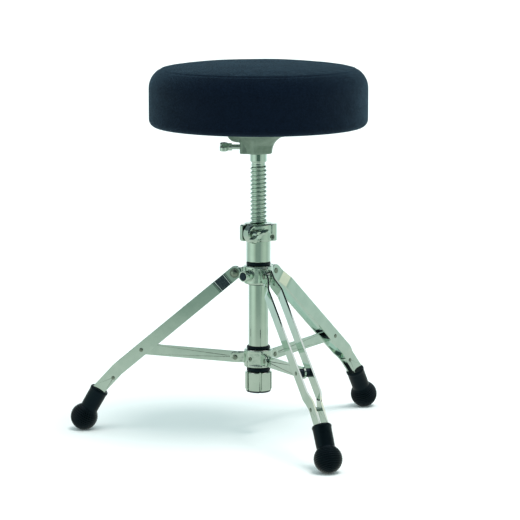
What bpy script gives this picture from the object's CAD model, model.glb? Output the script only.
import math

import bmesh
import bpy
from mathutils import Matrix, Vector, noise


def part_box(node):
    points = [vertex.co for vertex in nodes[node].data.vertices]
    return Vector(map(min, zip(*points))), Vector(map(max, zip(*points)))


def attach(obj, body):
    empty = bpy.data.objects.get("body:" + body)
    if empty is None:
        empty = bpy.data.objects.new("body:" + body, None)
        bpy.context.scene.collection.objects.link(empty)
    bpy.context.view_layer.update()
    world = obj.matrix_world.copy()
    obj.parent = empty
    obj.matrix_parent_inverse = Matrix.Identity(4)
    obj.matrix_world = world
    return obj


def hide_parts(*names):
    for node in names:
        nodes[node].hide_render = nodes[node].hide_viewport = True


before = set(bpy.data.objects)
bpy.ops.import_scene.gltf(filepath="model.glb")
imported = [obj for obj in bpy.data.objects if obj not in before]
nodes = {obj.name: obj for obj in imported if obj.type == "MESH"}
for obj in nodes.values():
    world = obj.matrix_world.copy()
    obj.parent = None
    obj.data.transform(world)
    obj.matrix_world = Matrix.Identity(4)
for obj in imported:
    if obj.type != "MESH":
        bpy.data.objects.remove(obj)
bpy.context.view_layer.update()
MM = 0.001
WELD = 2e-6  # a CAD node's faces come apart at their edges, and are joined again this close

# ---- places, from the frame ----

tube_low, tube_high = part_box("lower_tube")
axis = Vector(((tube_low.x + tube_high.x) / 2, (tube_low.y + tube_high.y) / 2, 0))
LEG_ANGLES = {1: math.radians(150), 2: math.radians(270), 3: math.radians(30)}


# ---- mesh helpers ----

def arc(x, z, r, start, end, steps):
    """Points of an arc round (x, z), between two angles in degrees."""
    angles = [math.radians(start + (end - start) * i / steps) for i in range(steps + 1)]
    return [(x + r * math.cos(a), z + r * math.sin(a)) for a in angles]


def finish_mesh(name, mesh, material, sharp=None):
    """An object from a bmesh, smooth shaded, with edges over the sharp angle (degrees) kept sharp."""
    bmesh.ops.remove_doubles(mesh, verts=mesh.verts, dist=1e-6)
    bmesh.ops.dissolve_degenerate(mesh, edges=mesh.edges, dist=1e-7)
    bmesh.ops.recalc_face_normals(mesh, faces=mesh.faces)
    for face in mesh.faces:
        face.smooth = True
    if sharp is not None:
        for edge in mesh.edges:
            if len(edge.link_faces) == 2 and edge.calc_face_angle() > math.radians(sharp):
                edge.smooth = False
    data = bpy.data.meshes.new(name)
    mesh.to_mesh(data)
    mesh.free()
    data.materials.append(material)
    piece = bpy.data.objects.new(name, data)
    bpy.context.scene.collection.objects.link(piece)
    return piece


def lathe_into(mesh, profile, steps, place=Matrix.Identity(4)):
    """Adds a body of revolution round Z to a bmesh. Points on the axis become poles."""
    rings = []
    for r, z in profile:
        if r < 1e-7:
            rings.append([mesh.verts.new(place @ Vector((0, 0, z)))])
            continue
        turn = [2 * math.pi * i / steps for i in range(steps)]
        rings.append([mesh.verts.new(place @ Vector((r * math.cos(a), r * math.sin(a), z))) for a in turn])
    for low, high in zip(rings, rings[1:]):
        for i in range(steps):
            j = (i + 1) % steps
            if len(low) == 1 and len(high) == 1:
                continue
            if len(low) == 1:
                mesh.faces.new((low[0], high[j], high[i]))
            elif len(high) == 1:
                mesh.faces.new((low[i], low[j], high[0]))
            else:
                mesh.faces.new((low[i], low[j], high[j], high[i]))


def add_modifier(piece, kind, **settings):
    made = piece.modifiers.new(kind.title(), kind)
    for key, value in settings.items():
        setattr(made, key, value)
    return made


def dress(name, material):
    """Gives a CAD node its material."""
    data = nodes[name].data
    data.materials.clear()
    data.materials.append(material)


def bevel_node(name, width, material):
    """A CAD node kept as it is, with rounded edges and a material."""
    piece = nodes[name]
    add_modifier(piece, "WELD", merge_threshold=WELD)
    add_modifier(
        piece, "BEVEL", width=width, segments=3, limit_method="ANGLE",
        angle_limit=math.radians(28), use_clamp_overlap=True, harden_normals=False,
    )
    add_modifier(piece, "WEIGHTED_NORMAL", keep_sharp=False, weight=50)
    dress(name, material)


def cast_node(name, voxel, steps, material):
    """A CAD node kept as it is, with the soft edges and skin of a casting."""
    piece = nodes[name]
    add_modifier(piece, "WELD", merge_threshold=WELD)
    add_modifier(piece, "REMESH", mode="VOXEL", voxel_size=voxel, use_smooth_shade=True)
    add_modifier(piece, "SMOOTH", factor=0.5, iterations=steps)
    dress(name, material)


# ---- material helpers ----

class Nodes:
    """Short ways to add shader nodes to a tree."""

    def __init__(self, tree):
        self.tree = tree

    def node(self, kind, **settings):
        made = self.tree.nodes.new(kind)
        for key, value in settings.items():
            setattr(made, key, value)
        return made

    def link(self, source, target):
        self.tree.links.new(source, target)

    def math(self, operation, *values):
        made = self.node("ShaderNodeMath", operation=operation)
        for socket, value in zip(made.inputs, values):
            if isinstance(value, (int, float)):
                socket.default_value = value
            else:
                self.link(value, socket)
        return made.outputs["Value"]

    def ramp(self, value, stops):
        """A colour from stops of (place, colour)."""
        made = self.node("ShaderNodeValToRGB")
        elements = made.color_ramp.elements
        elements.remove(elements[1])
        for i, (place, colour) in enumerate(stops):
            element = elements[0] if i == 0 else elements.new(place)
            element.position = place
            element.color = (*colour, 1)
        self.link(value, made.inputs["Fac"])
        return made.outputs["Color"]

    def rgb(self, colour):
        made = self.node("ShaderNodeRGB")
        made.outputs["Color"].default_value = (*colour, 1)
        return made.outputs["Color"]

    def smooth(self, value, start, end):
        """0 to 1 as a value goes from start to end."""
        made = self.node("ShaderNodeMapRange", interpolation_type="SMOOTHSTEP")
        made.inputs["From Min"].default_value = start
        made.inputs["From Max"].default_value = end
        self.link(value, made.inputs["Value"])
        return made.outputs["Result"]

    def mix(self, factor, a, b):
        made = self.node("ShaderNodeMix", data_type="RGBA")
        for socket, value in (("Factor", factor), ("A", a), ("B", b)):
            self.link(value, made.inputs[socket])
        return made.outputs["Result"]


class Surface(Nodes):
    """A material with one Principled shader, and short ways to vary it."""

    def __init__(self, name, **values):
        self.material = bpy.data.materials.new(name)
        self.material.use_nodes = True
        super().__init__(self.material.node_tree)
        self.shader = next(n for n in self.tree.nodes if n.type == "BSDF_PRINCIPLED")
        for socket, value in values.items():
            self.shader.inputs[socket.replace("_", " ")].default_value = value
        self.place = self.node("ShaderNodeTexCoord").outputs["Object"]

    def scaled(self, scale):
        """Object coordinates, stretched."""
        mapping = self.node("ShaderNodeMapping")
        mapping.inputs["Scale"].default_value = scale
        self.link(self.place, mapping.inputs["Vector"])
        return mapping.outputs["Vector"]

    def noise(self, scale, detail=3.0, roughness=0.5, at=None):
        made = self.node("ShaderNodeTexNoise")
        made.inputs["Scale"].default_value = scale
        made.inputs["Detail"].default_value = detail
        made.inputs["Roughness"].default_value = roughness
        self.link(at or self.place, made.inputs["Vector"])
        return made.outputs["Fac"]

    def between(self, value, low, high, socket=None, from_low=0.3, from_high=0.7):
        """A value from one range to another, and into a socket of the shader."""
        made = self.node("ShaderNodeMapRange")
        made.inputs["From Min"].default_value = from_low
        made.inputs["From Max"].default_value = from_high
        made.inputs["To Min"].default_value = low
        made.inputs["To Max"].default_value = high
        self.link(value, made.inputs["Value"])
        if socket:
            self.link(made.outputs["Result"], self.shader.inputs[socket])
        return made.outputs["Result"]

    def colour(self, value, low, high, from_low=0.3, from_high=0.7):
        """The base colour, from low to high with a value."""
        self.link(self.ramp(value, [(from_low, low), (from_high, high)]), self.shader.inputs["Base Color"])

    def bump(self, height, distance, strength=1.0):
        made = self.node("ShaderNodeBump")
        made.inputs["Strength"].default_value = strength
        made.inputs["Distance"].default_value = distance
        self.link(height, made.inputs["Height"])
        self.link(made.outputs["Normal"], self.shader.inputs["Normal"])


# ---- materials ----

def plated(name, low, high, rough_low, rough_high, ripple):
    """Chrome plate: pale green tint, faint haze, and the slight waviness of polished stock."""
    s = Surface(name, Metallic=1.0)
    s.colour(s.noise(60, 4), low, high)
    s.between(s.noise(180, 5, 0.6), rough_low, rough_high, "Roughness")
    s.bump(s.noise(90, 2), ripple)
    return s.material


def cast_metal():
    """Bare die-cast zinc: matte green-grey with a fine grain and a few darker patches."""
    s = Surface("cast_metal", Metallic=0.75, Specular_IOR_Level=0.4)
    s.colour(s.noise(45, 6, 0.65), (0.20, 0.27, 0.215), (0.31, 0.40, 0.33))
    s.between(s.noise(400, 3), 0.42, 0.58, "Roughness")
    s.bump(s.noise(900, 4, 0.7), 0.00012)
    return s.material


def rubber():
    s = Surface("rubber", Specular_IOR_Level=0.22)
    s.shader.inputs["Specular Tint"].default_value = (0.45, 0.75, 1.0, 1)
    s.colour(s.noise(50, 5, 0.6), (0.0008, 0.002, 0.0025), (0.002, 0.0042, 0.005))
    s.between(s.noise(300, 4), 0.27, 0.38, "Roughness")
    s.bump(s.noise(1200, 3, 0.6), 0.00005)
    return s.material


def moulded(name, low, high, rough=0.35, tint=(1, 1, 1)):
    s = Surface(name, Specular_IOR_Level=0.5)
    s.shader.inputs["Specular Tint"].default_value = (*tint, 1)
    s.colour(s.noise(70, 4), low, high)
    s.between(s.noise(350, 3), rough - 0.06, rough + 0.08, "Roughness")
    s.bump(s.noise(1500, 2), 0.00003)
    return s.material


def steel(name, low, high, rough=0.3):
    s = Surface(name, Metallic=1.0)
    s.colour(s.noise(120, 4), low, high)
    s.between(s.noise(500, 4), rough - 0.08, rough + 0.1, "Roughness")
    s.bump(s.noise(1100, 2), 0.00002)
    return s.material


def brass():
    return steel("brass", (0.38, 0.27, 0.09), (0.5, 0.37, 0.14), 0.32)


def foam():
    s = Surface("foam", Roughness=0.95)
    cells = s.node("ShaderNodeTexVoronoi")
    cells.inputs["Scale"].default_value = 700
    s.link(s.place, cells.inputs["Vector"])
    s.colour(cells.outputs["Distance"], (0.5, 0.44, 0.26), (0.72, 0.66, 0.45), 0.1, 0.6)
    s.bump(cells.outputs["Distance"], 0.0004)
    return s.material


def plywood():
    s = Surface("plywood", Roughness=0.7)
    grain = s.noise(40, 6, 0.6, s.scaled((12, 1, 1)))
    s.colour(grain, (0.35, 0.22, 0.1), (0.55, 0.38, 0.2))
    s.bump(grain, 0.0002)
    return s.material


def lining():
    """Black non-woven cloth under the seat."""
    s = Surface("lining", Roughness=0.9, Sheen_Weight=0.15)
    fibres = s.noise(1500, 4, 0.8)
    s.colour(fibres, (0.006, 0.008, 0.011), (0.016, 0.02, 0.026))
    s.bump(fibres, 0.0002)
    return s.material


THREAD = 1.1 * MM  # spacing of the weave


def cloth():
    """Navy-black plain weave with a soft nap, from the piece's own weave coordinates in metres."""
    s = Surface("cloth", Roughness=0.9, Specular_IOR_Level=0.08, Sheen_Roughness=0.42)
    s.shader.inputs["Sheen Tint"].default_value = (0.40, 0.74, 1.0, 1)
    across = s.node("ShaderNodeSeparateXYZ")
    weave = s.node("ShaderNodeUVMap", uv_map="weave")
    s.link(weave.outputs["UV"], across.inputs["Vector"])
    u = s.math("MULTIPLY", across.outputs["X"], math.pi / THREAD)
    v = s.math("MULTIPLY", across.outputs["Y"], math.pi / THREAD)
    warp = s.math("ABSOLUTE", s.math("SINE", u))
    weft = s.math("ABSOLUTE", s.math("SINE", v))
    over = s.math("GREATER_THAN", s.math("MULTIPLY", s.math("SINE", u), s.math("SINE", v)), 0)
    under = s.math("SUBTRACT", 1, over)
    height = s.math("ADD", s.math("MULTIPLY", warp, over), s.math("MULTIPLY", weft, under))
    slub = s.noise(260, 5, 0.7)
    thread = s.math("MULTIPLY", height, s.between(slub, 0.7, 1.0))
    fine = s.math("MULTIPLY", s.noise(420, 4, 0.75), 0.9)
    broad = s.math("MULTIPLY", s.noise(60, 3), 0.1)
    patches = s.math("ADD", fine, broad)
    shade = s.math("MULTIPLY", thread, s.between(patches, 0.35, 1.45, from_low=0.35, from_high=0.65))
    s.colour(shade, (0.0004, 0.0021, 0.0062), (0.003, 0.0085, 0.0205), 0.1, 1.05)
    s.between(patches, 0.05, 0.21, "Sheen Weight", from_low=0.35, from_high=0.65)
    s.bump(thread, 0.00018, 0.7)
    return s.material


CHROME = plated("chrome", (0.58, 0.70, 0.615), (0.64, 0.755, 0.67), 0.035, 0.085, 0.00001)
CHROME_STRAP = plated("chrome_strap", (0.56, 0.69, 0.62), (0.63, 0.755, 0.68), 0.03, 0.07, 0.00004)
CHROME_CAST = plated("chrome_cast", (0.58, 0.70, 0.62), (0.65, 0.765, 0.68), 0.04, 0.09, 0.0006)
CHROME_SPINDLE = plated("chrome_spindle", (0.57, 0.70, 0.63), (0.64, 0.76, 0.69), 0.05, 0.1, 0.00002)
WING_STEEL = plated("wing_steel", (0.55, 0.66, 0.60), (0.63, 0.74, 0.67), 0.05, 0.12, 0.0005)
FASTENER = steel("fastener", (0.22, 0.27, 0.22), (0.34, 0.40, 0.33), 0.3)
DARK_SCREW = steel("dark_screw", (0.035, 0.04, 0.035), (0.07, 0.08, 0.07), 0.4)
CASTING = cast_metal()
RUBBER = rubber()
PLASTIC = moulded("black_plastic", (0.002, 0.004, 0.006), (0.004, 0.007, 0.01), tint=(0.5, 0.75, 1.0))
NYLON = moulded("nylon", (0.62, 0.60, 0.5), (0.74, 0.72, 0.62), 0.45)
BRASS = brass()
FOAM = foam()
PLYWOOD = plywood()
LINING = lining()
CLOTH = cloth()


# ---- seat ----

seat_low, seat_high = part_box("seat_cover")
seat_r = (seat_high.x - seat_low.x) / 2
WRAP_R = 128 * MM  # the cloth is folded under the board to here
TOP_R = 33 * MM  # radius of the top edge
LOW_R = 12 * MM  # radius of the bottom edge
CROWN = 7.2 * MM
SEAM_ANGLE = 60  # where the top panel is sewn to the side band, on the top edge's arc
SEAM_NEAR = 7  # degrees to each side of the seam that have closer rows
SEAM_ROWS = (0.5, 1.2, 2.1, 3.1, 4.2, 5.5, SEAM_NEAR)
SEAM_DEPTH, SEAM_WIDTH = 0.4 * MM, 2.3 * MM
LIP_HEIGHT, LIP_WIDTH, LIP_PLACE = 0.1 * MM, 2 * MM, 3.4 * MM  # the cloth stands up beside the seam
PUCKER, PUCKER_WIDTH, PUCKERS = 0.08 * MM, 6 * MM, 23
UNEVEN, UNEVEN_SCALE = 0.45 * MM, 22
COVER_T = 1.4 * MM
COLUMNS = 192
FOAM_GAP = 3.2 * MM
CLOTH_SETTINGS = {
    "quality": 6, "mass": 0.3, "tension_stiffness": 40, "compression_stiffness": 40, "shear_stiffness": 20,
    "bending_stiffness": 8, "vertex_group_mass": "held", "use_pressure": True,
}


def seat_profile():
    """Half the cushion's outline, from the folded hem to the middle of the top, and the seam's place."""
    top_x = seat_r - TOP_R
    top_z = seat_high.z - CROWN - TOP_R + 0.2 * MM
    crown_slope = math.degrees(math.atan(2 * CROWN / (top_x + 3 * MM)))
    low_z = seat_low.z
    points = [(WRAP_R + i * (seat_r - LOW_R - WRAP_R) / 6, low_z) for i in range(6)]
    points += arc(seat_r - LOW_R, low_z + LOW_R, LOW_R, -90, 0, 9)
    side = top_z - low_z - LOW_R
    points += [(seat_r, low_z + LOW_R + side * i / 10) for i in range(1, 10)]
    points += arc(top_x, top_z, TOP_R, 0, SEAM_ANGLE - SEAM_NEAR - 2, 13)
    near = [SEAM_ANGLE - d for d in reversed(SEAM_ROWS)] + [SEAM_ANGLE + d for d in SEAM_ROWS]
    points += [arc(top_x, top_z, TOP_R, a, a, 1)[0] for a in near]
    points += arc(top_x, top_z, TOP_R, SEAM_ANGLE + SEAM_NEAR + 2, 90 - crown_slope, 5)
    edge_r, edge_z = points[-1]
    for i in range(1, 23):
        r = edge_r * (1 - i / 22)
        points.append((r, edge_z + (seat_high.z - edge_z) * (1 - (r / edge_r) ** 2)))
    return points, arc(top_x, top_z, TOP_R, SEAM_ANGLE, SEAM_ANGLE, 1)[0]


def weave_coordinates(data, seam_r):
    """Weave coordinates in metres: flat on the top panel, round the side band below the seam."""
    layer = data.uv_layers.new(name="weave")
    for polygon in data.polygons:
        middle = polygon.center - axis
        top = math.hypot(middle.x, middle.y) < seam_r and middle.z > seat_low.z + 50 * MM
        start = math.atan2(middle.y, middle.x)
        for corner in polygon.loop_indices:
            p = data.vertices[data.loops[corner].vertex_index].co - axis
            if top:
                layer.data[corner].uv = (p.x, p.y)
            else:
                turn = math.atan2(p.y, p.x) - start
                turn = (turn + math.pi) % (2 * math.pi) - math.pi
                layer.data[corner].uv = ((start + turn) * seat_r, p.z - math.hypot(p.x, p.y))


def inflate(piece, held, frames, pressure, most):
    """Swells a cloth with pressure. held gives a weight to each vertex that is held, and no vertex moves
    further than most."""
    rest = [v.co.copy() for v in piece.data.vertices]
    group = piece.vertex_groups.new(name="held")
    for index, weight in held.items():
        group.add([index], weight, "REPLACE")
    made = piece.modifiers.new("Cloth", "CLOTH")
    for key, value in CLOTH_SETTINGS.items():
        setattr(made.settings, key, value)
    made.settings.uniform_pressure_force = pressure
    made.settings.effector_weights.gravity = 0
    made.collision_settings.use_collision = False
    made.point_cache.frame_start = 1
    made.point_cache.frame_end = frames
    for step in range(1, frames + 1):
        bpy.context.scene.frame_set(step)
    swollen = piece.evaluated_get(bpy.context.evaluated_depsgraph_get()).to_mesh()
    moved = [v.co.copy() for v in swollen.vertices]
    piece.modifiers.remove(made)
    bpy.context.scene.frame_set(1)
    for vertex, old, new in zip(piece.data.vertices, rest, moved):
        step = new - old
        if step.length > most:
            step *= most / step.length
        vertex.co = old + step


def bell(distance, width):
    """1 at no distance, and away to nothing in about two widths."""
    return math.exp(-((distance / width) ** 2))


def seat_cover():
    """The cloth cover: blown up over its foam, drawn in along its seam, and folded under the board."""
    profile, seam = seat_profile()
    mesh = bmesh.new()
    lathe_into(mesh, profile, COLUMNS, Matrix.Translation(axis))
    piece = finish_mesh("seat_cushion", mesh, CLOTH)
    data = piece.data

    def seam_distance(p):
        return math.hypot(math.hypot(p.x, p.y) - seam[0], p.z - seam[1])

    held = {}
    for vertex in data.vertices:
        p = vertex.co - axis
        hem = p.z < seat_low.z + 1 * MM
        held[vertex.index] = 1.0 if hem else 0.9 * max(0.0, 1 - seam_distance(p) / (6 * MM))
    inflate(piece, held, 16, 1.5, 2.2 * MM)
    for vertex in data.vertices:
        p = vertex.co - axis
        away = seam_distance(p)
        groove = -SEAM_DEPTH * bell(away, SEAM_WIDTH)
        lips = LIP_HEIGHT * bell(away - LIP_PLACE, LIP_WIDTH)
        pucker = PUCKER * math.sin(PUCKERS * math.atan2(p.y, p.x)) * bell(away, PUCKER_WIDTH)
        uneven = UNEVEN * noise.noise(p * UNEVEN_SCALE) if p.z > seat_low.z + 3 * MM else 0
        vertex.co += vertex.normal * (groove + lips + pucker + uneven)
    weave_coordinates(data, seam[0])
    add_modifier(piece, "SOLIDIFY", thickness=COVER_T, offset=-1)
    add_modifier(piece, "SUBSURF", levels=1, render_levels=1)
    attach(piece, "seat")
    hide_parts("seat_cover")


def seat_foam():
    """The foam block inside the cover, open below for the board."""
    foam_low, foam_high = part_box("seat_foam")
    board_low, board_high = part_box("seat_board")
    board_r = (board_high.x - board_low.x) / 2
    outer = [(r * (1 - FOAM_GAP / seat_r), z) for r, z in seat_profile()[0]]
    top = [(r, min(z - FOAM_GAP, foam_high.z)) for r, z in outer if z > board_high.z + FOAM_GAP]
    profile = [(0, board_high.z + 0.2 * MM), (board_r, board_high.z + 0.2 * MM)]
    profile += [(board_r + 0.5 * MM, foam_low.z + 1 * MM), (seat_r - LOW_R, foam_low.z + 1.5 * MM)]
    profile += [(seat_r - 5 * MM, foam_low.z + LOW_R)]
    profile += top
    mesh = bmesh.new()
    lathe_into(mesh, profile, 96, Matrix.Translation(axis))
    piece = finish_mesh("foam_block", mesh, FOAM, sharp=50)
    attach(piece, "seat")
    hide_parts("seat_foam")


# ---- spindle ----

PITCH = 6.5 * MM
CREST_R = 13 * MM
ROOT_R = 10.75 * MM
SMOOTH_END = 45 * MM
NECK = 3.5 * MM  # between the thread and the smooth end


def thread_radius(phase):
    """The thread's radius across one pitch: a rounded crest and a rounded root."""
    wave = 0.5 + 0.5 * math.cos(2 * math.pi * phase)
    sharper = wave * wave * (3 - 2 * wave)
    return ROOT_R + (CREST_R - ROOT_R) * sharper


def spindle():
    """The screw spindle, with a right-hand thread that runs out at both ends, and its smooth end."""
    low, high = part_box("spindle")
    steps, rows = 72, 14
    top = high.z - SMOOTH_END - NECK
    start = low.z + 2 * MM
    turns = int((top - start) / PITCH) + 1
    mesh = bmesh.new()
    columns = []
    for i in range(steps + 1):
        angle = 2 * math.pi * i / steps
        column = []
        for j in range(-rows, (turns + 1) * rows + 1):
            z = start + PITCH * (j / rows + i / steps)
            z_kept = min(max(z, start), top)
            fade = min(1, (z_kept - start) / PITCH, (top - z_kept) / (0.8 * PITCH))
            r = thread_radius(j / rows)
            r = ROOT_R + (r - ROOT_R) * max(0, fade)
            column.append(mesh.verts.new(axis + Vector((r * math.cos(angle), r * math.sin(angle), z_kept))))
        columns.append(column)
    for a, b in zip(columns, columns[1:]):
        for j in range(len(a) - 1):
            mesh.faces.new((a[j], b[j], b[j + 1], a[j + 1]))
    lower = [(0, low.z), (CREST_R - 2.6 * MM, low.z), (ROOT_R, low.z + 0.9 * MM), (ROOT_R, start)]
    neck = top + NECK
    upper = [(ROOT_R, top), (ROOT_R - 0.1 * MM, top + 1 * MM), (ROOT_R, neck - 0.6 * MM)]
    upper += [(CREST_R - 0.5 * MM, neck + 0.4 * MM), (CREST_R, neck + 1.2 * MM), (CREST_R, neck + 1.7 * MM)]
    upper += [(CREST_R, high.z - 1.9 * MM), (CREST_R, high.z - 1.4 * MM)]
    upper += [(CREST_R - 0.4 * MM, high.z - 0.5 * MM), (CREST_R - 1.3 * MM, high.z), (0, high.z)]
    lathe_into(mesh, lower, steps, Matrix.Translation(axis))
    lathe_into(mesh, upper, steps, Matrix.Translation(axis))
    piece = finish_mesh("screw_spindle", mesh, CHROME_SPINDLE, sharp=60)
    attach(piece, "spindle")
    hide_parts("spindle")


# ---- feet ----

NECK_SLOPE = math.radians(60.3)
NECK_R = 14.25 * MM
RING_PITCH = math.radians(9)
RING_DEPTH = 1.4 * MM
FLAT = 0.5 * MM  # the ball is flat this high where it stands
NECK_FOOT = [(-0.35, 1.2), (-0.2, 3), (-0.1, 8)]  # radius over the neck's, height over the ball, mm
NECK_RIM = [(0, 7), (0.3, 5), (0.7, 3.6), (0.8, 2.6), (0.5, 1.8)]  # the same, but below the top


def ball_foot(k):
    """A rubber ball with ring grooves round its neck's axis, and a smooth neck with a rolled rim."""
    front_low, front_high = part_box("leg_2_foot")
    _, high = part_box(f"leg_{k}_foot")
    ball_r = (front_high.x - front_low.x) / 2
    reach = axis.y - (front_low.y + ball_r)
    out = Vector((math.cos(LEG_ANGLES[k]), math.sin(LEG_ANGLES[k]), 0))
    centre = axis + out * reach + Vector((0, 0, ball_r - FLAT))
    neck_axis = -out * math.cos(NECK_SLOPE) + Vector((0, 0, math.sin(NECK_SLOPE)))
    neck_top = high.z - centre.z - NECK_R * math.cos(NECK_SLOPE)
    neck_len = neck_top / math.sin(NECK_SLOPE) - 1.6 * MM
    place = Matrix.Translation(centre) @ neck_axis.to_track_quat("Z", "Y").to_matrix().to_4x4()
    profile = []
    join = math.degrees(math.acos(NECK_R / ball_r))
    fine = 150
    for i in range(fine + 1):
        angle = math.radians(-90 + (90 + join) * i / fine)
        ring = 0.5 - 0.5 * math.cos(2 * math.pi * angle / RING_PITCH)
        groove = RING_DEPTH * ring ** 2
        smooth = min(1, (i / fine) * 6, (fine - i) / fine * 12)
        r = ball_r - groove * smooth
        profile.append((max(0, r * math.cos(angle)), r * math.sin(angle)))
    profile[0] = (0, profile[0][1])
    neck_z = profile[-1][1]
    profile += [(NECK_R + wider * MM, neck_z + up * MM) for wider, up in NECK_FOOT]
    profile += [(NECK_R + wider * MM, neck_len - down * MM) for wider, down in NECK_RIM]
    profile += arc(NECK_R - 1.2 * MM, neck_len - 1.2 * MM, 1.2 * MM, 0, 90, 6)
    profile += [(NECK_R - 4 * MM, neck_len - 0.15 * MM), (0, neck_len - 0.4 * MM)]
    mesh = bmesh.new()
    lathe_into(mesh, profile, 96, place)
    for vertex in mesh.verts:
        vertex.co.z = max(vertex.co.z, 0)
    piece = finish_mesh(f"ball_foot_{k}", mesh, RUBBER)
    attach(piece, f"leg_{k}")
    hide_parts(f"leg_{k}_foot")


# ---- build ----

seat_cover()
seat_foam()
spindle()
for k in LEG_ANGLES:
    ball_foot(k)
    for name, width, material in (
        ("leg_{}_strap_left", 0.4, CHROME_STRAP),
        ("leg_{}_strap_right", 0.4, CHROME_STRAP),
        ("brace_{}", 0.4, CHROME_STRAP),
        ("brace_{}_washers", 0.7, PLASTIC),
        ("brace_{}_rivet", 0.2, FASTENER),
        ("leg_{}_knee_rivets", 0.2, FASTENER),
        ("leg_{}_foot_rivet", 0.2, FASTENER),
        ("leg_{}_foot_spacer", 0.2, CHROME_STRAP),
    ):
        bevel_node(name.format(k), width * MM, material)

for name, width, material in (
    ("lower_tube", 0.3, CHROME),
    ("upper_tube", 0.4, CHROME),
    ("spindle_nut", 0.3, BRASS),
    ("end_sleeve", 0.35, CHROME),
    ("end_cap", 0.3, PLASTIC),
    ("top_bumper", 0.3, RUBBER),
    ("middle_bumper", 0.3, RUBBER),
    ("lower_bumper", 0.3, RUBBER),
    ("lower_bracket_screw", 0.3, FASTENER),
    ("clamp_key_screw", 0.3, FASTENER),
    ("clamp_lock_nut", 0.4, FASTENER),
    ("clamp_washer", 0.3, FASTENER),
    ("brace_pivot_pins", 0.2, FASTENER),
    ("leg_pivot_pins", 0.3, FASTENER),
    ("boss_plug", 0.4, PLASTIC),
    ("bracket_bushing", 0.2, PLASTIC),
    ("spindle_guide", 0.4, NYLON),
    ("guide_bolt", 0.3, FASTENER),
    ("seat_board", 0.8, PLYWOOD),
    ("seat_underside", 0.2, LINING),
    ("seat_screws", 0.4, DARK_SCREW),
):
    bevel_node(name, width * MM, material)

for name, voxel, steps, material in (
    ("lower_bracket", 0.6, 8, CHROME_CAST),
    ("upper_bracket", 0.6, 8, CHROME_CAST),
    ("clamp_collar", 0.6, 8, CHROME_CAST),
    ("clamp_wing", 0.35, 14, CHROME_CAST),
    ("seat_wing", 0.35, 14, WING_STEEL),
    ("seat_casting", 0.8, 8, CASTING),
):
    cast_node(name, voxel * MM, steps, material)


# ---- floor, light and camera ----

VIEW_TURN = math.radians(-21.55)  # how far round the camera stands from the front
CAMERA = Vector((2.4, -4077, 906.2)) * MM  # from the column's foot, before that turn
PITCH_DOWN = math.radians(8.744)
LENS = 182.63  # mm, on a sensor 36 mm wide

# What polished metal sees of the studio at eye level, by how far round it is from the camera's side: -1 is
# behind the seat by way of the left, and 1 is behind it by way of the right.
LEVEL = [
    (-1.0, (0.92, 1.03, 1.03)), (-0.76, (0.66, 0.80, 0.78)), (-0.58, (0.47, 0.57, 0.51)),
    (-0.49, (0.62, 0.75, 0.67)), (-0.37, (0.73, 0.87, 0.77)), (-0.29, (0.66, 0.80, 0.70)),
    (-0.20, (0.49, 0.59, 0.51)), (-0.13, (0.28, 0.37, 0.32)), (0.09, (0.27, 0.36, 0.32)),
    (0.15, (0.40, 0.48, 0.43)), (0.26, (0.52, 0.63, 0.54)), (0.37, (0.57, 0.68, 0.58)),
    (0.49, (0.46, 0.57, 0.50)), (0.60, (0.58, 0.70, 0.64)), (0.72, (0.78, 0.92, 0.88)),
    (1.0, (0.92, 1.03, 1.03)),
]
NEAR_FLOOR = (0.60, 0.66, 0.60)
DARK_FLOOR = (0.09, 0.15, 0.12)  # in front, behind the camera
FRONT_DARK = (0.03, 0.045, 0.055)  # the studio round the camera
FRONT_STRIPE = (0.75, 0.85, 0.82)
CEILING = (1.05, 0.98, 1.03)
WARM = (1.15, 1.05, 0.88)  # a patch to the right
WARM_ASIDE = 0.43
DARK_BAND = (0.05, 0.075, 0.09)  # between the sides and the ceiling
SOFT_LIGHT = (0.79, 0.97, 0.97)


def round_view(tree, direction):
    """How far a direction is round from the camera's side, -1 to 1, and its sine of elevation."""
    turned = tree.node("ShaderNodeVectorRotate", rotation_type="Z_AXIS")
    turned.inputs["Angle"].default_value = -VIEW_TURN
    tree.link(direction, turned.inputs["Vector"])
    split = tree.node("ShaderNodeSeparateXYZ")
    tree.link(turned.outputs["Vector"], split.inputs["Vector"])
    x, y, z = split.outputs
    return tree.math("DIVIDE", tree.math("ARCTAN2", x, tree.math("MULTIPLY", y, -1)), math.pi), z


def level(tree, aside):
    """The studio's brightness at a place round it."""
    stops = [((place + 1) / 2, colour) for place, colour in LEVEL]
    return tree.ramp(tree.math("MULTIPLY_ADD", aside, 0.5, 0.5), stops)


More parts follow.
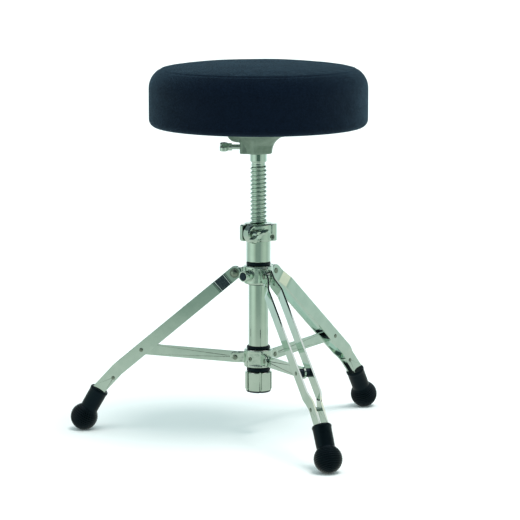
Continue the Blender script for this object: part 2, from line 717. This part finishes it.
def floor_material():
    """A white sweep. Polished metal sees it bright near the object and as dim as the studio further off."""
    s = Surface("floor", Roughness=0.9, Specular_IOR_Level=0.1)
    s.colour(s.noise(3, 2), (0.88, 0.885, 0.885), (0.9, 0.9, 0.9))
    from_axis = s.node("ShaderNodeVectorMath", operation="SUBTRACT")
    s.link(s.place, from_axis.inputs[0])
    from_axis.inputs[1].default_value = axis
    distance = s.node("ShaderNodeVectorMath", operation="LENGTH")
    s.link(from_axis.outputs["Vector"], distance.inputs[0])
    distance = distance.outputs["Value"]
    aside, _ = round_view(s, from_axis.outputs["Vector"])
    far = s.smooth(distance, 0.35, 1.5)
    seen = s.mix(far, s.rgb(NEAR_FLOOR), level(s, aside))
    ahead = s.smooth(s.math("ABSOLUTE", aside), 0.15, 0.1)
    seen = s.mix(s.math("MULTIPLY", ahead, s.smooth(distance, 2.2, 2.9)), seen, s.rgb(DARK_FLOOR))
    glow = s.node("ShaderNodeEmission")
    s.link(seen, glow.inputs["Color"])
    both = s.node("ShaderNodeMixShader")
    s.link(s.node("ShaderNodeLightPath").outputs["Is Glossy Ray"], both.inputs["Fac"])
    s.link(s.shader.outputs["BSDF"], both.inputs[1])
    s.link(glow.outputs["Emission"], both.inputs[2])
    output = next(n for n in s.tree.nodes if n.type == "OUTPUT_MATERIAL")
    s.link(both.outputs["Shader"], output.inputs["Surface"])
    return s.material


def floor():
    mesh = bmesh.new()
    bmesh.ops.create_circle(mesh, cap_ends=True, segments=64, radius=30)
    piece = finish_mesh("floor", mesh, floor_material())
    piece.location = (0, 0, -0.05 * MM)


def studio():
    """A white studio for soft light, which metal sees bright behind and above and dim round the camera."""
    world = bpy.data.worlds.new("studio")
    bpy.context.scene.world = world
    world.use_nodes = True
    world.node_tree.nodes.clear()
    s = Nodes(world.node_tree)
    aside, height = round_view(s, s.node("ShaderNodeTexCoord").outputs["Generated"])
    up = s.math("DIVIDE", s.math("ARCSINE", height), math.pi / 2)
    front = s.ramp(up, [
        (0.0, FRONT_DARK), (0.085, FRONT_DARK), (0.093, FRONT_STRIPE), (0.107, FRONT_STRIPE),
        (0.115, FRONT_DARK), (0.45, (0.02, 0.03, 0.05)), (0.62, (0.5, 0.55, 0.55)), (0.8, (1.0, 1.0, 1.0)),
    ])
    over = s.ramp(up, [(0.45, (0, 0, 0)), (0.65, (1, 1, 1))])
    facing = s.smooth(s.math("ABSOLUTE", aside), 0.28, 0.14)
    raised = s.smooth(up, 0, 0.035)
    reflected = s.mix(over, level(s, aside), s.rgb(CEILING))
    reflected = s.mix(s.math("MULTIPLY", facing, raised), reflected, front)
    beside = s.smooth(s.math("ABSOLUTE", s.math("SUBTRACT", aside, WARM_ASIDE)), 0.09, 0.02)
    patch = s.math("MULTIPLY", beside, s.smooth(up, 0.04, 0.09))
    reflected = s.mix(s.math("MULTIPLY", patch, 0.8), reflected, s.rgb(WARM))
    band = s.math("MULTIPLY", s.smooth(up, 0.2, 0.27), s.smooth(up, 0.62, 0.5))
    reflected = s.mix(s.math("MULTIPLY", band, 0.85), reflected, s.rgb(DARK_BAND))
    rays = s.node("ShaderNodeLightPath")
    light = s.mix(rays.outputs["Is Glossy Ray"], s.rgb(SOFT_LIGHT), reflected)
    background = s.node("ShaderNodeBackground")
    s.link(s.mix(rays.outputs["Is Camera Ray"], light, s.rgb((1, 1, 1))), background.inputs["Color"])
    output = s.node("ShaderNodeOutputWorld")
    s.link(background.outputs["Background"], output.inputs["Surface"])


def key_light():
    """One soft light, high up and a little to the right in front."""
    data = bpy.data.lights.new("key", "SUN")
    data.energy = 1.85
    data.angle = math.radians(25)
    data.color = (1.0, 0.97, 0.95)
    light = bpy.data.objects.new("key", data)
    bpy.context.scene.collection.objects.link(light)
    towards = Matrix.Rotation(VIEW_TURN, 3, "Z") @ Vector((0.22, -0.21, 1))
    light.rotation_euler = towards.to_track_quat("Z", "Y").to_euler()
    light.visible_glossy = False


def camera():
    data = bpy.data.cameras.new("camera")
    data.lens = LENS
    data.sensor_width = 36
    data.clip_end = 100
    piece = bpy.data.objects.new("camera", data)
    bpy.context.scene.collection.objects.link(piece)
    piece.location = axis + Matrix.Rotation(VIEW_TURN, 3, "Z") @ CAMERA
    piece.rotation_euler = (math.pi / 2 - PITCH_DOWN, 0, VIEW_TURN)
    bpy.context.scene.camera = piece


floor()
studio()
key_light()
camera()
bpy.context.scene.view_settings.view_transform = "Standard"
